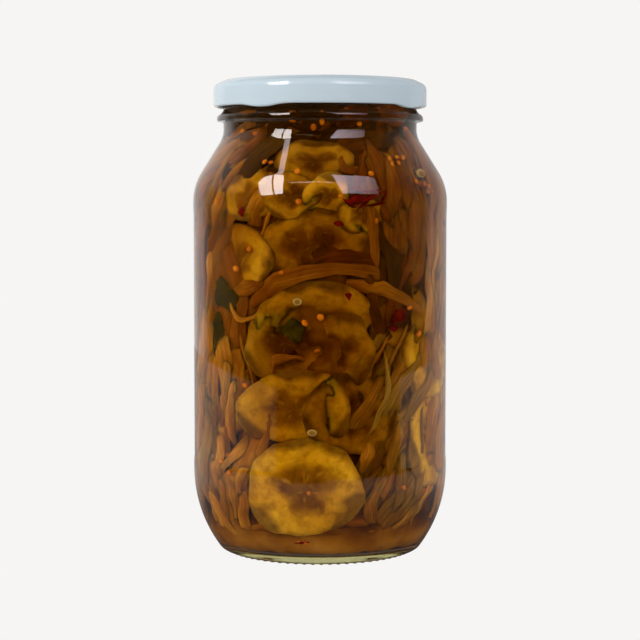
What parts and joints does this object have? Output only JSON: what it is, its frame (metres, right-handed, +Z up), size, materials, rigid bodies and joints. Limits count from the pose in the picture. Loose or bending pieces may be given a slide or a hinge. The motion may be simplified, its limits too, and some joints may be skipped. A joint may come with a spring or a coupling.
{
  "type": "pickle jar",
  "caption": "Round clear glass jar with a white twist-off metal lid, packed to the neck with sliced cucumber pickles, onion strips and mustard seeds in brine.",
  "frame": {"origin": "middle of the ring under the base that the jar stands on", "axes": "+Z up along the jar's axis to the lid, the front of the packed slices faces -Y, +X to the right as the front is looked at"},
  "size_m": [0.1004, 0.1004, 0.1852],
  "materials": {
    "glass": "clear flint glass with a faint green tint, fire-polished and glossy",
    "lid_enamel": "glossy pale blue-white enamel on tinplate",
    "pickles": "soft wet vegetable pieces, olive yellow to amber brown, under brine"
  },
  "bodies": {
    "root": {"glass_jar": "glass", "lid": "lid_enamel", "pickle_heap": "pickles"}
  },
  "joints": []
}
